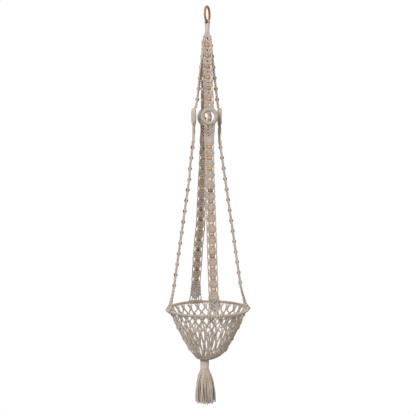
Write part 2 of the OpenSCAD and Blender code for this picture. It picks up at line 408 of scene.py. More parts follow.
sweep.links.new(read_value(sweep, "along"), uv_value.inputs["Y"])
mapped = keep_value(sweep, skin.outputs["Mesh"], "UVMap", uv_value.outputs["Vector"], "FLOAT2", "CORNER")
dress_and_end(sweep, mapped, sweep_in, sweep_out)


def from_tree(name, source_mesh, tree, values):
    """Runs a Geometry Nodes tree on a mesh and returns the result as a plain object."""
    source = bpy.data.objects.new(name + "_source", source_mesh)
    bpy.context.scene.collection.objects.link(source)
    nodes = source.modifiers.new("nodes", "NODES")
    nodes.node_group = tree
    sockets = node_tree_inputs(tree)
    for label, value in values.items():
        nodes[sockets[label]] = value
    evaluated = source.evaluated_get(bpy.context.evaluated_depsgraph_get())
    mesh = bpy.data.meshes.new_from_object(evaluated)
    mesh.name = name
    piece = bpy.data.objects.new(name, mesh)
    bpy.context.scene.collection.objects.link(piece)
    bpy.data.objects.remove(source)
    return piece


def smooth_route(keys, steps=2):
    """Points on a smooth curve through the keys, steps of them for each gap."""
    k = np.asarray(keys, float)
    k = np.vstack([2 * k[0] - k[1], k, 2 * k[-1] - k[-2]])
    p0, p1, p2, p3 = (k[i:len(k) - 3 + i][:, None, :] for i in range(4))
    t = (np.arange(steps) / steps)[None, :, None]
    curve = 0.5 * (
        2 * p1 + (p2 - p0) * t
        + (2 * p0 - 5 * p1 + 4 * p2 - p3) * t ** 2
        + (3 * p1 - p0 - 3 * p2 + p3) * t ** 3
    )
    return np.vstack([curve.reshape(-1, 3), k[-2]])


strand_draw = random.Random(11)


def lay_cords(name, routes, radius=cord_r, closed=False, material=cotton_cord, sides=cord_sides):
    """One piece made of swept cords, one for each route, each with its own strand value."""
    points = np.vstack(routes)
    edges = []
    strands = []
    start = 0
    for route in routes:
        count = len(route)
        edges += [(start + i, start + i + 1) for i in range(count - 1)]
        if closed:
            edges.append((start + count - 1, start))
        strands += [strand_draw.random()] * count
        start += count
    mesh = bpy.data.meshes.new(name + "_routes")
    mesh.from_pydata([tuple(p) for p in points], edges, [])
    mesh.attributes.new("strand", "FLOAT", "POINT").data.foreach_set("value", strands)
    values = {"Radius": radius, "Sides": sides, "Material": material}
    piece = from_tree(name, mesh, sweep, values)
    piece.data.shade_smooth()
    return piece


ring_low, ring_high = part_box("hanging_ring")
ring_centre_z = (ring_low.z + ring_high.z) / 2
ring_rod_r = 0.0045
rod_z = ring_low.z + ring_rod_r
rod_centre_r = ring_centre_z - rod_z
ring_plane_azimuth = math.radians(58)
rod_direction = np.array([math.cos(ring_plane_azimuth), math.sin(ring_plane_azimuth), 0])
rod_side = np.array([-rod_direction[1], rod_direction[0], 0])
neck_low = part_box("neck_wrap")[0]

loops_over_ring = 8
loop_spacing = 0.00275
loops_shift = 0.0030
leg_bottom_z = rod_z - 0.021
loop_routes = []
for n in range(loops_over_ring):
    inward = (n - (loops_over_ring - 1) / 2) * loop_spacing
    offset = inward + loops_shift
    rod_drop = math.sqrt(rod_centre_r ** 2 - offset ** 2)
    middle = np.array([0, 0, ring_centre_z - rod_drop]) + offset * rod_direction
    wrap_r = ring_rod_r + cord_r * 1.1
    keys = []
    for side in (-1, 1):
        leg = side * rod_side
        foot = inward * 0.5 * rod_direction + leg * 0.0030 + np.array([0, 0, leg_bottom_z])
        waist = inward * 0.65 * rod_direction + leg * 0.0042 + np.array([0, 0, rod_z - 0.0115])
        hip = (inward * 0.88 + loops_shift * 0.5) * rod_direction + leg * 0.0062
        hip = hip + np.array([0, 0, rod_z - 0.0055])
        arc = [
            middle + wrap_r * (math.cos(a) * leg + np.array([0, 0, math.sin(a)]))
            for a in np.radians([-8, 25, 55, 78])
        ]
        half = [foot, waist, hip] + arc
        keys += half if side < 0 else half[::-1]
    loop_routes.append(smooth_route(keys, 3))
loops = lay_cords("cord_loops", loop_routes)
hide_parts("ring_loops")
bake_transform(loops)

# ---------------------------------------------------------------- Neck
# The sixteen ends are one round bundle, bound with a close wrap of thinner cord that is tucked
# under itself. Two thicker turns below hold the cords that are added there.


def coil(radius_at, low_z, high_z, pitch, points_in_turn=14, middle=(0, 0)):
    """A close winding round an upright axis, from high_z down to low_z."""
    turns = (high_z - low_z) / pitch
    steps = int(turns * points_in_turn)
    share = np.arange(steps + 1) / steps
    angle = share * turns * 2 * math.pi
    height = high_z + (low_z - high_z) * share
    reach = np.array([radius_at(z) for z in height])
    return np.column_stack([middle[0] + reach * np.cos(angle), middle[1] + reach * np.sin(angle), height])


def bundle_spot(index, count, radius):
    """A place in a round bundle of cords, filling it evenly from the middle out."""
    turn = index * math.pi * (3 - math.sqrt(5))
    reach = radius * math.sqrt((index + 0.5) / count)
    return reach * math.cos(turn), reach * math.sin(turn)


neck_cords = 16
neck_bundle_r = 0.0060
bundle_routes = []
for n in range(neck_cords):
    x, y = bundle_spot(n, neck_cords, neck_bundle_r)
    heights = np.linspace(neck_low.z - 0.006, leg_bottom_z + 0.002, 5)
    bundle_routes.append(np.array([(x, y, z) for z in heights]))
neck_bundle = lay_cords("neck_bundle", bundle_routes)
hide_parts("neck_core")
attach(neck_bundle, "neck")

wrap_cord_r = 0.0010
wrap_pitch = 1.9 * wrap_cord_r
wrap_top_z = rod_z - 0.0075
holding_r = 0.0086
holding_top_z = neck_low.z - 0.0008
holding_low_z = neck_low.z - 0.0078
holding_pitch = 2 * cord_r * 0.98


def neck_radius(z):
    heights = (neck_low.z, neck_low.z + 0.012, wrap_top_z)
    return np.interp(z, heights, (0.0086, 0.0089, 0.0098)) - wrap_cord_r


neck_coil = coil(neck_radius, neck_low.z, wrap_top_z, wrap_pitch)
neck_binding = lay_cords("neck_binding", [neck_coil], wrap_cord_r, material=cotton_wrap, sides=5)
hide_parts("neck_wrap")
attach(neck_binding, "neck")
holding_coil = coil(lambda z: holding_r, holding_low_z, holding_top_z, holding_pitch)
holding_turns = lay_cords("holding_turns", [holding_coil])
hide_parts("neck_wrap")
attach(holding_turns, "neck")

# ---------------------------------------------------------------- Upper bands
# Below the neck the cords part into four bands of twelve, in rows of square knots. The middle
# cords carry a bead at each step, with a small gap between the two knots halfway to the next.
arm_names = ("front", "right", "back", "left")
arm_azimuth = {}
for arm in arm_names:
    bead_low, bead_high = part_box(arm + "_medallion_bead")
    bead_middle = (bead_low + bead_high) / 2
    arm_azimuth[arm] = math.atan2(bead_middle.y, bead_middle.x)

bead_r = 0.008
bead_pitch = 0.041
upper_first_z = -0.143
upper_beads = 6
lower_first_z = -0.531
lower_beads = 14
band_end = lower_first_z - bead_pitch * (lower_beads - 0.5)
medallion_low, medallion_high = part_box("front_medallion_wrap")
medallion_z = (medallion_low.z + medallion_high.z) / 2
rim_low, rim_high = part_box("rim_hoop")
rim_z = (rim_low.z + rim_high.z) / 2
rim_rod_r = (rim_high.z - rim_low.z) / 2
rim_centre_r = (rim_high.x - rim_low.x) / 2 - rim_rod_r
basket_x = (rim_high.x + rim_low.x) / 2
basket_y = (rim_high.y + rim_low.y) / 2

# Each band's way down: how far out it is at each height
foot_top_z = -1.083
shoulder_keys = [
    (upper_first_z, 0.0145), (-0.128, 0.0135), (-0.118, 0.0118), (-0.108, 0.0094), (-0.100, 0.0078),
    (-0.092, 0.0066),
]
middle_keys = [(lower_first_z, 0.0527), (-0.500, 0.0485), (-0.455, 0.0490), (-0.380, 0.0430)]
left_middle_keys = [
    (-0.650, 0.0715), (-0.610, 0.0690), (lower_first_z, 0.0590), (-0.500, 0.0540), (-0.455, 0.0540),
    (-0.380, 0.0460), (-0.348, 0.0395),
]
reach_keys = {
    arm: [(rim_z, rim_centre_r), (foot_top_z, 0.1360)]
    + (left_middle_keys if arm == "left" else middle_keys) + shoulder_keys
    for arm in arm_names
}
# How far it sways to its left seen from outside, in millimetres, as it was tied by hand
sway_keys = {
    "front": [(-1.06, 0.0), (-0.95, -1.0), (-0.60, -2.0), (-0.53, -0.8), (-0.41, 0.0), (-0.35, -0.5),
              (-0.25, -2.4), (upper_first_z, -3.6), (-0.10, 0.0)],
    "right": [(rim_z, 0.0), (-0.10, 0.0)],
    "back": [(rim_z, 2.0), (-1.06, 2.5), (-0.90, -1.0), (-0.85, -5.0), (-0.65, -3.8), (-0.61, -5.0),
             (-0.53, -3.6), (-0.49, -1.5), (-0.41, 0.0), (-0.10, 0.0)],
    "left": [(rim_z, 0.0), (-0.10, 0.0)],
}
# How far its face is turned from facing straight out, in degrees
turn_keys = {
    "front": [(rim_z, 0.0), (-1.08, 0.0), (-0.60, -5.0), (-0.41, -8.0), (-0.16, -5.0), (-0.10, 0.0)],
    "right": [(rim_z, 0.0), (-1.06, -11.0), (-0.54, -11.0), (-0.51, -2.0), (-0.46, 0.0), (-0.43, -10.0),
              (-0.41, -13.0), (-0.16, -13.0), (-0.10, 0.0)],
    "back": [(rim_z, 0.0), (-1.08, 0.0), (-0.95, -20.0), (-0.80, -30.0), (-0.60, -36.0), (-0.53, -46.0),
             (-0.45, -50.0), (-0.38, -50.0), (-0.28, -28.0), (-0.16, -8.0), (-0.10, 0.0)],
    "left": [(rim_z, 0.0), (-1.06, -12.0), (-0.56, -14.0), (-0.52, -5.0), (-0.46, -4.0), (-0.43, -9.0),
             (-0.40, -12.0), (-0.36, -14.0), (-0.28, -22.0), (-0.16, -20.0), (-0.10, 0.0)],
}
# The azimuth of the part below the chevron, where it is not the medallion's
foot_azimuth = {**arm_azimuth, "back": math.radians(94)}
chevron_bend = (-0.505, -0.470)


def arm_line(arm, z):
    """The middle of a band at a height, and the azimuth its face looks along."""
    join = np.interp(z, chevron_bend, (1.0, 0.0))
    azimuth = arm_azimuth[arm] + (foot_azimuth[arm] - arm_azimuth[arm]) * join
    reach = np.interp(z, *zip(*reach_keys[arm]))
    sway = np.interp(z, *zip(*sway_keys[arm])) / 1000
    to_basket = np.interp(z, (rim_z, foot_top_z), (1.0, 0.0))
    x = reach * math.cos(azimuth) - sway * math.sin(azimuth) + basket_x * to_basket
    y = reach * math.sin(azimuth) + sway * math.cos(azimuth) + basket_y * to_basket
    return x, y, azimuth + math.radians(np.interp(z, *zip(*turn_keys[arm])))


def place_on_arm(arm, route):
    """Puts (across, depth, height) points on an arm."""
    placed = []
    for across, depth, z in route:
        x, y, face = arm_line(arm, z)
        placed.append((
            x + depth * math.cos(face) - across * math.sin(face),
            y + depth * math.sin(face) + across * math.cos(face),
            z,
        ))
    return np.array(placed)


# The four cords of a square knot, as (across, depth, height) in cord gaps, depths and knot heights
worker_front = [
    (-1.5, 0.0, -0.5), (-1.45, 0.75, -0.36), (0.0, 1.05, -0.25), (1.35, 0.5, -0.13), (1.65, -0.2, 0.0),
    (1.35, 0.5, 0.13), (0.0, 1.05, 0.25), (-1.45, 0.75, 0.36), (-1.5, 0.0, 0.5),
]
worker_back = [
    (1.5, 0.0, -0.5), (1.65, 0.6, -0.3), (1.1, -0.6, -0.17), (0.0, -1.0, -0.1), (-1.2, -0.5, -0.05),
    (-1.65, 0.4, 0.0), (-1.2, -0.5, 0.05), (0.0, -1.0, 0.1), (1.1, -0.6, 0.17), (1.65, 0.6, 0.3),
    (1.5, 0.0, 0.5),
]
filler_left = [(-0.5, 0.0, -0.5), (-0.5, 0.0, 0.5)]
filler_right = [(0.5, 0.0, -0.5), (0.5, 0.0, 0.5)]
knot_paths = [worker_front, filler_left, filler_right, worker_back]
knot_height = 0.0083
knot_gap = 0.0031
knot_depth = 2 * cord_r * 0.85
knot_draw = random.Random(5)
band_cords = 12
column_x = 0.0128


def tie_knot(cords, members, middle, height, mirrored=False, gap=knot_gap):
    """Adds a square knot to four cords' routes, which are lists of (across, depth, height)."""
    shift = knot_draw.uniform(-0.0004, 0.0004)
    drop = knot_draw.uniform(-0.0005, 0.0005)
    side = -1 if mirrored else 1
    for slot, member in enumerate(members):
        path = knot_paths[3 - slot if mirrored else slot]
        cords[member] += [
            (middle + shift + side * u * gap, v * knot_depth, height + drop - w * knot_height)
            for u, v, w in path
        ]


def pass_by(cords, places, height, depth=0.0):
    """Adds one point to each cord a row leaves out: places are {cord: across}, for both halves."""
    for member, across in places.items():
        cords[member].append((across, depth, height))
        cords[band_cords - 1 - member].append((-across, depth, height))


def three_knots(cords, z):
    tie_knot(cords, (0, 1, 2, 3), -column_x, z)
    tie_knot(cords, (4, 5, 6, 7), 0.0, z)
    tie_knot(cords, (8, 9, 10, 11), column_x, z, mirrored=True)


def two_knots(cords, z, apart, edge, gap=knot_gap):
    """Two knots, each this far from the middle, with the edge cords passing at the side."""
    pass_by(cords, {0: -edge, 1: 0.0030 - edge}, z)
    tie_knot(cords, (2, 3, 4, 5), -apart, z, gap=gap)
    tie_knot(cords, (6, 7, 8, 9), apart, z, mirrored=True, gap=gap)


def past_bead(cords, z, edge, inner):
    """The cords part round a bead: a pair one behind the other at each edge, the rest close to it."""
    pass_by(cords, {0: -edge}, z, depth=0.0012)
    pass_by(cords, {1: 0.0006 - edge}, z, depth=-0.0022)
    pass_by(cords, {2: -inner}, z, depth=0.0004)
    pass_by(cords, {3: 0.0004 - inner}, z, depth=-0.0032)
    pass_by(cords, {4: -0.0066}, z, depth=-0.0044)
    pass_by(cords, {5: -0.0009}, z)


def level_across(cords, z, gap, depth=0.0):
    """Every cord at one height, side by side."""
    pass_by(cords, {c: (c - 5.5) * gap for c in range(band_cords // 2)}, z, depth)


def finish_band(arm, cords, name):
    """Places a band's cords on its arm and lays them."""
    return lay_cords(name, [smooth_route(place_on_arm(arm, keys)) for keys in cords])


shoulder_z = (-0.0935, -0.1010)
first_side_z = -0.1112
first_middle_z = -0.1095
tight_gap = 0.0025
pair_x = 0.0086
upper_edge = 0.0166
upper_knot_drop = 0.0122
last_row_drop = 0.0288
for arm in arm_names:
    cords = [[] for c in range(band_cords)]
    level_across(cords, shoulder_z[0], 0.0011)
    level_across(cords, shoulder_z[1], 0.0013)
    tie_knot(cords, (0, 1, 2, 3), -pair_x, first_side_z)
    tie_knot(cords, (4, 5, 6, 7), 0.0, first_middle_z)
    tie_knot(cords, (8, 9, 10, 11), pair_x, first_side_z, mirrored=True)
    for n in range(upper_beads):
        bead_z = upper_first_z - bead_pitch * n
        edge = 0.0148 if n == 0 else upper_edge
        two_knots(cords, bead_z + bead_pitch / 2, pair_x, edge, gap=tight_gap)
        three_knots(cords, bead_z + upper_knot_drop)
        past_bead(cords, bead_z, edge, 0.0098)
        three_knots(cords, bead_z - upper_knot_drop)
    two_knots(cords, bead_z - bead_pitch / 2, pair_x, upper_edge, gap=tight_gap)
    three_knots(cords, bead_z - last_row_drop)
    level_across(cords, medallion_high.z - 0.004, 0.0032, depth=0.003)
    band = finish_band(arm, cords, arm + "_upper_knots")
    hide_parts(arm + "_upper_band")
    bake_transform(band)

# ---------------------------------------------------------------- Beads
# Turned wooden beads, drilled and varnished, from nearly white to dark brown. Each is on the
# cords that pass through it, and those in the medallions can spin.
bead_wood = varnished_wood(
    "bead_wood",
    [
        (0.0, (0.62, 0.50, 0.38)), (0.25, (0.52, 0.345, 0.21)), (0.5, (0.41, 0.23, 0.12)),
        (0.75, (0.27, 0.125, 0.06)), (1.0, (0.12, 0.050, 0.027)),
    ],
    "tone", 90.0, (1.0, 1.0, 0.4),
)

turned, turned_in, turned_out = geometry_tree(
    "turned_beads",
    [
        ("Radius", "Float", bead_r), ("Bore Radius", "Float", 0.0026), ("Seed", "Int", 3),
        ("Material", "Material", None),
    ],
)
ball = turned.nodes.new("GeometryNodeMeshUVSphere")
ball.inputs["Segments"].default_value = 20
ball.inputs["Rings"].default_value = 14
turned.links.new(turned_in.outputs["Radius"], ball.inputs["Radius"])
ball_place = turned.nodes.new("GeometryNodeInputPosition")
ball_parts = turned.nodes.new("ShaderNodeSeparateXYZ")
turned.links.new(ball_place.outputs["Position"], ball_parts.inputs["Vector"])
square_x = maths(turned, "POWER", ball_parts.outputs["X"], 2.0)
square_y = maths(turned, "POWER", ball_parts.outputs["Y"], 2.0)
from_axis = maths(turned, "SQRT", maths(turned, "ADD", square_x, square_y))
in_bore = maths(turned, "LESS_THAN", from_axis, turned_in.outputs["Bore Radius"])
sunk = maths(turned, "MULTIPLY", maths(turned, "MULTIPLY", ball_parts.outputs["Z"], -0.25), in_bore)
sink = turned.nodes.new("ShaderNodeCombineXYZ")
turned.links.new(sunk, sink.inputs["Z"])
drill = turned.nodes.new("GeometryNodeSetPosition")
turned.links.new(ball.outputs["Mesh"], drill.inputs["Geometry"])
turned.links.new(sink.outputs["Vector"], drill.inputs["Offset"])
thread = turned.nodes.new("GeometryNodeInstanceOnPoints")
turned.links.new(turned_in.outputs["Geometry"], thread.inputs["Points"])
turned.links.new(drill.outputs["Geometry"], thread.inputs["Instance"])
size_draw = turned.nodes.new("FunctionNodeRandomValue")
size_draw.data_type = "FLOAT"
turned.links.new(turned_in.outputs["Seed"], size_draw.inputs["Seed"])
for socket in size_draw.inputs:
    if socket.type == "VALUE" and socket.name == "Min":
        socket.default_value = 0.97
    if socket.type == "VALUE" and socket.name == "Max":
        socket.default_value = 1.03
size_drawn = [s for s in size_draw.outputs if s.type == "VALUE"][0]
turned.links.new(size_drawn, thread.inputs["Scale"])
dress_and_end(turned, thread.outputs["Instances"], turned_in, turned_out)

bead_draw = random.Random(21)


def thread_beads(name, places, tones, node, body):
    """A string of beads at the places, each with its tone of wood."""
    mesh = bpy.data.meshes.new(name + "_places")
    mesh.from_pydata([tuple(p) for p in places], [], [])
    mesh.attributes.new("tone", "FLOAT", "POINT").data.foreach_set("value", tones)
    beads = from_tree(name, mesh, turned, {"Radius": bead_r, "Material": bead_wood})
    beads.data.shade_smooth()
    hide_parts(node)
    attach(beads, body)


def bead_string(arm, part, first_z, tones):
    """One arm's upper or lower beads."""
    heights = [first_z - bead_pitch * n for n in range(len(tones))]
    places = [(*arm_line(arm, z)[:2], z) for z in heights]
    node = arm + "_" + part + "_beads"
    thread_beads(node + "_turned", places, tones, node, "hanger")


upper_tones = {
    "front": [0.42, 0.5, 0.58, 0.42, 0.55, 0.35],
    "right": [0.62, 0.7, 0.55, 0.7, 0.45, 1.0],
    "left": [0.5, 0.4, 0.25, 0.3, 0.3, 0.45],
    "back": [0.6, 0.8, 0.7, 0.5, 0.9, 0.6],
}
lower_tones = {
    "front": [0.42, 0.40, 0.38, 0.12, 0.72, 0.48, 0.42, 0.02, 0.35, 0.12, 0.62, 0.28, 0.42, 0.2],
    "back": [0.7, 0.5, 0.65, 0.4, 0.42, 0.65, 0.85, 0.9, 0.55, 0.6, 0.95, 0.7, 0.8, 0.5],
}
for arm in arm_names:
    bead_string(arm, "upper", upper_first_z, upper_tones[arm])
    tones = lower_tones.get(arm) or [bead_draw.uniform(0.2, 1.0) for n in range(lower_beads)]
    bead_string(arm, "lower", lower_first_z, tones)

# ---------------------------------------------------------------- Medallions
# On each arm a wooden ring is wound all round with cord. A cord crosses its hole, with one
# bead on it just below the middle that spins freely.
medallion_tube_r = 0.0082
medallion_r = (medallion_high.z - medallion_low.z) / 2
medallion_centre_r = medallion_r - medallion_tube_r
medallion_turns = 60
hole_r = medallion_centre_r - medallion_tube_r
cross_cord_r = 0.0012
cross_twist_r = 0.0011
cross_twist = 330


def ring_coil(centre_r, tube_at, turns, points_in_turn):
    """A closed winding round a ring, as (out along the ring's radius, along its axis, angle)."""
    steps = turns * points_in_turn
    share = np.arange(steps) / steps
    round_ring = share * 2 * math.pi
    round_tube = share * turns * 2 * math.pi
    tube = np.array([tube_at(a) for a in round_ring])
    return centre_r + tube * np.cos(round_tube), tube * np.sin(round_tube), round_ring


for arm in arm_names:
    out, depth, angle = ring_coil(
        medallion_centre_r, lambda a: medallion_tube_r - cord_r, medallion_turns, 12
    )
    core_low, core_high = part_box(arm + "_medallion_ring")
    ring_middle = (core_low + core_high) / 2
    face = arm_line(arm, medallion_z)[2]
    across = out * np.sin(angle)
    route = np.column_stack([
        ring_middle.x + depth * math.cos(face) - across * math.sin(face),
        ring_middle.y + depth * math.sin(face) + across * math.cos(face),
        medallion_z + out * np.cos(angle),
    ])
    winding = lay_cords(arm + "_medallion_winding", [route], closed=True)
    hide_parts(arm + "_medallion_wrap")
    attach(winding, "hanger")
    refinish(arm + "_medallion_ring", ring_wood)
    cross_routes = []
    for start_angle in (0, math.pi):
        heights = np.linspace(hole_r + 0.004, -hole_r - 0.004, 25)
        cross_routes.append(np.array([
            (
                ring_middle.x + cross_twist_r * math.cos(h * cross_twist + start_angle),
                ring_middle.y + cross_twist_r * math.sin(h * cross_twist + start_angle),
                medallion_z + h,
            )
            for h in heights
        ]))
    cross_cord = lay_cords(arm + "_medallion_twist", cross_routes, radius=cross_cord_r)
    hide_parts(arm + "_medallion_cord")
    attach(cross_cord, "hanger")
    bead_low, bead_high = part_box(arm + "_medallion_bead")
    tone = 0.4 if arm == "front" else bead_draw.uniform(0.3, 0.8)
    bead_name = arm + "_medallion_bead"
    thread_beads(bead_name + "_turned", [(bead_low + bead_high) / 2], [tone], bead_name, arm + "_bead")

# ---------------------------------------------------------------- Chevron panels
# Below the medallion, rows of double half hitches run down from both edges to the middle.
# Each row is a leader cord with the other cords hitched closely round it.
# Painted shade: the carried cords get a much darker cotton all over, for the shadow that the hitch rows
# cast on them.
carried_painted_shade = cotton("cotton_painted_shade", (0.22, 0.17, 0.13), (0.11, 0.08, 0.06))
carried_r = 0.0014
hitch_cord_r = 0.0014
hitch_r = 0.0017
hitch_pitch = 0.0026
chevron_rows = 4
chevron_step = 0.0112
chevron_rise = 0.0180
chevron_first_z = -0.4610
chevron_last_z = chevron_first_z - chevron_step * (chevron_rows - 1)
chevron_top_half = 0.0205


def hitch_row(outer, inner):
    """A row of hitches from an outer to an inner (across, height) place: the leader and its coil."""
    outer, inner = np.array(outer), np.array(inner)
    along = inner - outer
    length = np.linalg.norm(along)
    along = along / length
    square = np.array([-along[1], along[0]])
    turns = length / hitch_pitch
    steps = int(turns * 10)
    share = np.arange(steps + 1) / steps
    angle = share * turns * 2 * math.pi
    flat = outer + np.outer(share * length, along) + np.outer(hitch_r * np.cos(angle), square)
    hitches = np.column_stack([flat[:, 0], hitch_r * np.sin(angle), flat[:, 1]])
    ends = np.array([outer, inner])
    leader = np.column_stack([ends[:, 0], [0, 0], ends[:, 1]])
    return [hitches, leader]


def vee_rows(first_z, rows, step, half_at, rise, middle=0.0, top_z=0.0):
    """Rows of hitches in a V, cut off at top_z: half_at gives the half width at a height."""
    made = []
    for row in range(rows):
        middle_z = first_z - step * row
        reached = min(rise, top_z - middle_z) / rise
        for side in (-1, 1):
            outer = (side * half_at(middle_z) * reached, middle_z + rise * reached)
            made += hitch_row(outer, (middle + side * 0.0005, middle_z))
    return made


def carried_cords(keys_of_share):
    """The cords that the hitches carry down behind them, one route for each share across."""
    shares = [2 * c / (band_cords - 1) - 1 for c in range(band_cords)]
    return [smooth_route(keys_of_share(share), 3) for share in shares]


def chevron_half(z):
    return np.interp(z, (-0.500, -0.450), (0.0180, 0.0215))


def chevron_cord(share):
    ring_place = chevron_top_half * share
    top_z = medallion_z - math.sqrt(medallion_centre_r ** 2 - ring_place ** 2)
    edge_z = chevron_last_z + chevron_rise * abs(share)
    return [(ring_place, 0.0, top_z), (chevron_half(edge_z) * share * 0.96, 0.0, edge_z)]


for arm in arm_names:
    middle = -0.0045 if arm == "front" else 0.0
    routes = vee_rows(chevron_first_z, chevron_rows, chevron_step, chevron_half, chevron_rise, middle)
    for side in (-1, 1):
        short_outer = (side * 0.0185, chevron_first_z + 0.0235)
        routes += hitch_row(short_outer, (middle + side * 0.0050, chevron_first_z + 0.0125))
    panel = lay_cords(arm + "_chevron_hitches", [place_on_arm(arm, r) for r in routes], hitch_cord_r)
    # The carried cords take the painted-shade cotton.
    carried = lay_cords(
        arm + "_chevron_carried", [place_on_arm(arm, r) for r in carried_cords(chevron_cord)],
        carried_r, material=carried_painted_shade,
    )
    for piece in (panel, carried):
        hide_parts(arm + "_chevron")
        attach(piece, "hanger")

# ---------------------------------------------------------------- Lower bands
# The same twelve cords go on in three square knots side by side, then two between them. They
# part round each bead with the outer pairs straight, and the slits beside it open lower down.
lower_start_z = -0.5040
lower_first_row_z = -0.5110
lower_knot_drop = 0.0118
for arm in arm_names:
    cords = [[] for c in range(band_cords)]
    for c in range(band_cords):
        share = 2 * c / (band_cords - 1) - 1
        edge_z = chevron_last_z + chevron_rise * abs(share)
        cords[c].append((chevron_half(edge_z) * share * 0.92, 0.0, edge_z + 0.002))
    level_across(cords, lower_start_z, 0.0031)
    two_knots(cords, lower_first_row_z, 0.0066, 0.0168)
    for n in range(lower_beads):
        bead_z = lower_first_z - bead_pitch * n
        edge = np.interp(n, (0, 5, 9), (0.0152, 0.0160, 0.0172))
        three_knots(cords, bead_z + bead_pitch / 2)
        two_knots(cords, bead_z + lower_knot_drop, 0.0062, edge)
        past_bead(cords, bead_z, edge + 0.0012, 0.0094)
        two_knots(cords, bead_z - lower_knot_drop, 0.0062, edge)
    three_knots(cords, band_end)
    level_across(cords, band_end - 0.010, 0.0033)
    band = finish_band(arm, cords, arm + "_lower_knots")
    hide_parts(arm + "_lower_band")
    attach(band, "hanger")

# ---------------------------------------------------------------- Feet
# Each band ends in more rows of half hitches, which widen towards the rim. The cords run out
# from under the last V to the rim and are tied over it.
foot_rows = 5
foot_step = 0.0130
foot_first_z = band_end - 0.0130
foot_rise = 0.0205
foot_last_z = foot_first_z - foot_step * (foot_rows - 1)
fan_pairs = 6
fan_half = 0.0245


def foot_half(z):
    return np.interp(z, (rim_z, foot_first_z), (0.0235, 0.0195))


def foot_cord(share):
    edge_z = foot_last_z + foot_rise * abs(share)
    return [
        (0.0181 * share, 0.0, band_end - 0.009),
        (foot_half(foot_first_z) * share * 0.96, 0.0, foot_first_z),
        (foot_half(edge_z) * share * 0.95, 0.0, edge_z),
    ]


def fanned_cord(share, side):
    """The end of a cord from under the last V to the rim, over its outer or inner side."""
    edge_z = foot_last_z + foot_rise * abs(share)
    return smooth_route([
        (foot_half(edge_z) * share * 0.95, 0.0, edge_z + 0.002),
        (fan_half * share * 0.97, side * 0.0012, (edge_z + rim_z) / 2),
        (fan_half * share, side * 0.0060, rim_z + 0.006),
        (fan_half * share, side * 0.0076, rim_z - 0.001),
        (fan_half * share, side * 0.0050, rim_z - 0.007),
    ], 3)


for arm in arm_names:
    routes = vee_rows(foot_first_z, foot_rows, foot_step, foot_half, foot_rise, top_z=band_end - 0.006)
    foot = lay_cords(arm + "_foot_hitches", [place_on_arm(arm, r) for r in routes], hitch_cord_r)
    # The foot's carried cords take the same painted-shade cotton.
    carried = lay_cords(
        arm + "_foot_carried", [place_on_arm(arm, r) for r in carried_cords(foot_cord)],
        carried_r, material=carried_painted_shade,
    )
    shares = [2 * pair / (fan_pairs - 1) - 1 for pair in range(fan_pairs)]
    fan = lay_cords(
        arm + "_foot_fan",
        [place_on_arm(arm, fanned_cord(share, side)) for share in shares for side in (-1, 1)],
    )
    for piece in (foot, carried, fan):
        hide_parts(arm + "_foot")
        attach(piece, "hanger")

# ---------------------------------------------------------------- Rim
# A cane hoop wound closely with cord all round, thicker where the arms are tied over it.
rim_tube_r = 0.0055
lobe_height = 0.0028
lobe_half_angle = 0.15
rim_turns = 270


def rim_tube(angle):
    """Radius of the winding round the hoop at an angle about the basket's axis."""
    nearest = min(abs((angle - a + math.pi) % (2 * math.pi) - math.pi) for a in foot_azimuth.values())
    lobe = max(0.0, 1 - (nearest / lobe_half_angle) ** 2)
    return rim_tube_r - cord_r + lobe_height * math.sqrt(lobe)


out, height, angle = ring_coil(rim_centre_r, rim_tube, rim_turns, 10)
rim_route = np.column_stack([
    basket_x + out * np.cos(angle), basket_y + out * np.sin(angle), rim_z + height,
])
rim_winding = lay_cords("rim_winding", [rim_route], closed=True)
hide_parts("rim_wrap")
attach(rim_winding, "hanger")
cane = varnished_wood(
    "hoop_cane", [(0.0, (0.60, 0.44, 0.26)), (1.0, (0.35, 0.22, 0.11))], None, 70.0, (1.0, 1.0, 1.0)
)
refinish("rim_hoop", cane)

# ---------------------------------------------------------------- Basket net
# One hundred and twelve cords hang from the rim, in twenty-eight groups of four. Alternating
# square knots join them in a net of diamonds, wide at the rim and close lower down.
columns = 28
net_cord_r = 0.00195
net_rows = (-1.184, -1.203, -1.219, -1.235, -1.279, -1.320)
net_gaps = (0.0030, 0.0029, 0.0027, 0.0026, 0.0024, 0.0022)
net_outline = [
    (-1.364, 0.0200), (-1.353, 0.0440), (-1.333, 0.0650), (-1.304, 0.0840), (-1.270, 0.1020),
    (-1.235, 0.1200), (-1.201, 0.1325), (-1.180, 0.1430), (-1.166, 0.1525),
]


def net_radius(z):
    return np.interp(z, *zip(*net_outline))


def net_point(azimuth, across, depth, z):
    """A place on the net: across is a distance along the wall from the azimuth."""
    reach = net_radius(z) + depth
    angle = azimuth + across / max(net_radius(z), 0.02)
    return (basket_x + reach * math.cos(angle), basket_y + reach * math.sin(angle), z)


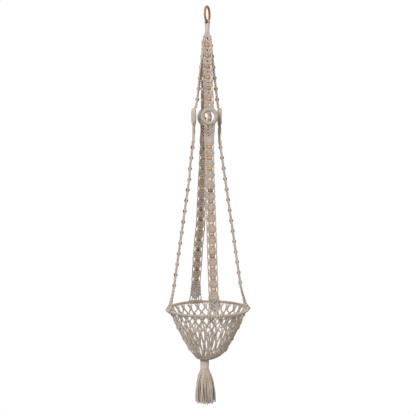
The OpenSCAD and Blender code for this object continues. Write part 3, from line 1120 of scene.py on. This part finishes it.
column_step = 2 * math.pi / columns
column_turn = 0.25
mount_gap = 0.0085
mount_reach = 0.152
net_knot_depth = 0.9
net_draw = random.Random(8)
net_routes = []
net_ends = []
column_shift = {
    (row, column): (net_draw.uniform(-0.0025, 0.0025), net_draw.uniform(-0.0030, 0.0030))
    for row in range(len(net_rows)) for column in range(columns)
}
for column in range(columns):
    for member in range(4):
        start = (column + column_turn) * column_step + (member - 1.5) * mount_gap / mount_reach
        keys = [net_point(start, 0, 0.001, rim_z - 0.002)]
        for row, row_z in enumerate(net_rows):
            if row % 2 == 0:
                knot_column, slot = column, member
            elif member < 2:
                knot_column, slot = column - 1, member + 2
            else:
                knot_column, slot = column, member - 2
            azimuth = (knot_column + column_turn + (row % 2) / 2) * column_step
            shift, drop = column_shift[(row, knot_column % columns)]
            for u, v, w in knot_paths[slot]:
                across = shift + u * net_gaps[row]
                depth = v * 2 * net_cord_r * net_knot_depth
                keys.append(net_point(azimuth, across, depth, row_z + drop - w * knot_height))
        net_routes.append(smooth_route(keys))
        net_ends.append((azimuth, across, row_z + drop - knot_height / 2))
net = lay_cords("basket_knots", net_routes, net_cord_r)
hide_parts("basket_net")
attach(net, "hanger")

# ---------------------------------------------------------------- Gathered bottom
# Below the last knots the cords swing in together and crowd into the collar.
gather_draw = random.Random(4)
collar_low, collar_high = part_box("tassel_collar")
tassel_x = (collar_low.x + collar_high.x) / 2
tassel_y = (collar_low.y + collar_high.y) / 2
collar_top_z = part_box("tassel_core")[1].z
gather_levels = (0.35, 0.6, 0.82, 1.0)
gather_sag = 0.006
last_row_r = 0.08
gather_routes = []


def round_basket(end):
    """The azimuth at which a cord leaves the net."""
    return (end[0] + end[1] / last_row_r) % (2 * math.pi)


for rank, (azimuth, across, z) in enumerate(sorted(net_ends, key=round_basket)):
    level = gather_levels[rank % 4]
    lean = gather_draw.uniform(-0.06, 0.06)
    keys = [net_point(azimuth, across, 0.0, z)]
    for drop in (0.25, 0.5, 0.75):
        height = z + (collar_top_z - z) * drop
        inward = -gather_sag * (1 - level) * drop - gather_draw.uniform(0, 0.002)
        x, y, z_there = net_point(azimuth + lean * drop, across * (1 - drop), inward, height)
        to_tassel = drop ** 2
        x += (tassel_x - basket_x) * to_tassel
        y += (tassel_y - basket_y) * to_tassel
        keys.append((x, y, z_there))
    angle = azimuth + lean
    for reach, height in ((0.0142, collar_top_z + 0.001), (0.0132, collar_top_z - 0.012)):
        reach *= level
        keys.append((tassel_x + reach * math.cos(angle), tassel_y + reach * math.sin(angle), height))
    gather_routes.append(smooth_route(keys, 3))
gather = lay_cords("gathered_cords", gather_routes, net_cord_r)
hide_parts("basket_gather")
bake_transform(gather)

# ---------------------------------------------------------------- Tassel collar
# All the cords are bound into one with a close wrap of the thinner cord, as at the neck.


def collar_radius(z):
    heights = (collar_low.z, collar_low.z + 0.006, collar_top_z - 0.005, collar_top_z)
    return np.interp(z, heights, (0.0165, 0.0175, 0.0180, 0.0172)) - wrap_cord_r


collar_coil = coil(
    collar_radius, collar_low.z, collar_top_z, wrap_pitch, 20, (tassel_x, tassel_y)
)
collar_binding = lay_cords("collar_binding", [collar_coil], wrap_cord_r, material=cotton_wrap, sides=5)
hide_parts("tassel_collar")
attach(collar_binding, "collar")
core_cords = 60
core_bundle_r = 0.0140
core_heights = np.linspace(collar_low.z - 0.004, collar_top_z - 0.004, 3)
core_routes = []
for n in range(core_cords):
    x, y = bundle_spot(n, core_cords, core_bundle_r)
    core_routes.append(np.array([(tassel_x + x, tassel_y + y, z) for z in core_heights]))
core_bundle = lay_cords("tassel_bundle", core_routes, sides=4)
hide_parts("tassel_core")
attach(core_bundle, "collar")

# ---------------------------------------------------------------- Tassel skirt
# The loose ends hang in a bell below the collar, in clumps, cut by hand at slightly different
# lengths.
skirt_outline = [
    (-1.536, 0.0400), (-1.519, 0.0412), (-1.488, 0.0395), (-1.457, 0.0350), (-1.445, 0.0325),
    (-1.429, 0.0280), (-1.412, 0.0205), (-1.400, 0.0150),
]
skirt_layers = ((1.0, 58), (0.80, 44), (0.58, 30), (0.35, 16), (0.12, 4))
skirt_lean = 0.0045
skirt_cord_r = 0.0019
clump_count = 13
clump_pull = 0.45
skirt_draw = random.Random(17)
clumps = [skirt_draw.uniform(0, 2 * math.pi) for n in range(clump_count)]
skirt_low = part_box("tassel_skirt")[0].z
skirt_top_z = collar_low.z + 0.006
skirt_routes = []
for layer, count in skirt_layers:
    for n in range(count):
        home = (n + skirt_draw.uniform(-0.3, 0.3)) / count * 2 * math.pi
        pull = min(((c - home + math.pi) % (2 * math.pi) - math.pi for c in clumps), key=abs)
        end_z = skirt_low + skirt_draw.uniform(0.0, 0.010)
        wander = skirt_draw.uniform(0, 2 * math.pi)
        swell = skirt_draw.uniform(0.93, 1.0)
        keys = []
        for z in np.linspace(skirt_top_z, end_z, 14):
            share = (skirt_top_z - z) / (collar_low.z - skirt_low)
            angle = home + pull * clump_pull * min(1, share * 1.6)
            angle += 0.05 * share * math.sin(share * 7 + wander)
            reach = (np.interp(z, *zip(*skirt_outline)) - cord_r) * layer
            reach *= 1 - (1 - swell) * share + 0.02 * math.sin(share * 9 + wander)
            lean = skirt_lean * share
            keys.append((tassel_x + lean + reach * math.cos(angle), tassel_y + reach * math.sin(angle), z))
        skirt_routes.append(smooth_route(keys))
skirt = lay_cords("skirt_strands", skirt_routes, radius=skirt_cord_r)
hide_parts("tassel_skirt")
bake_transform(skirt)
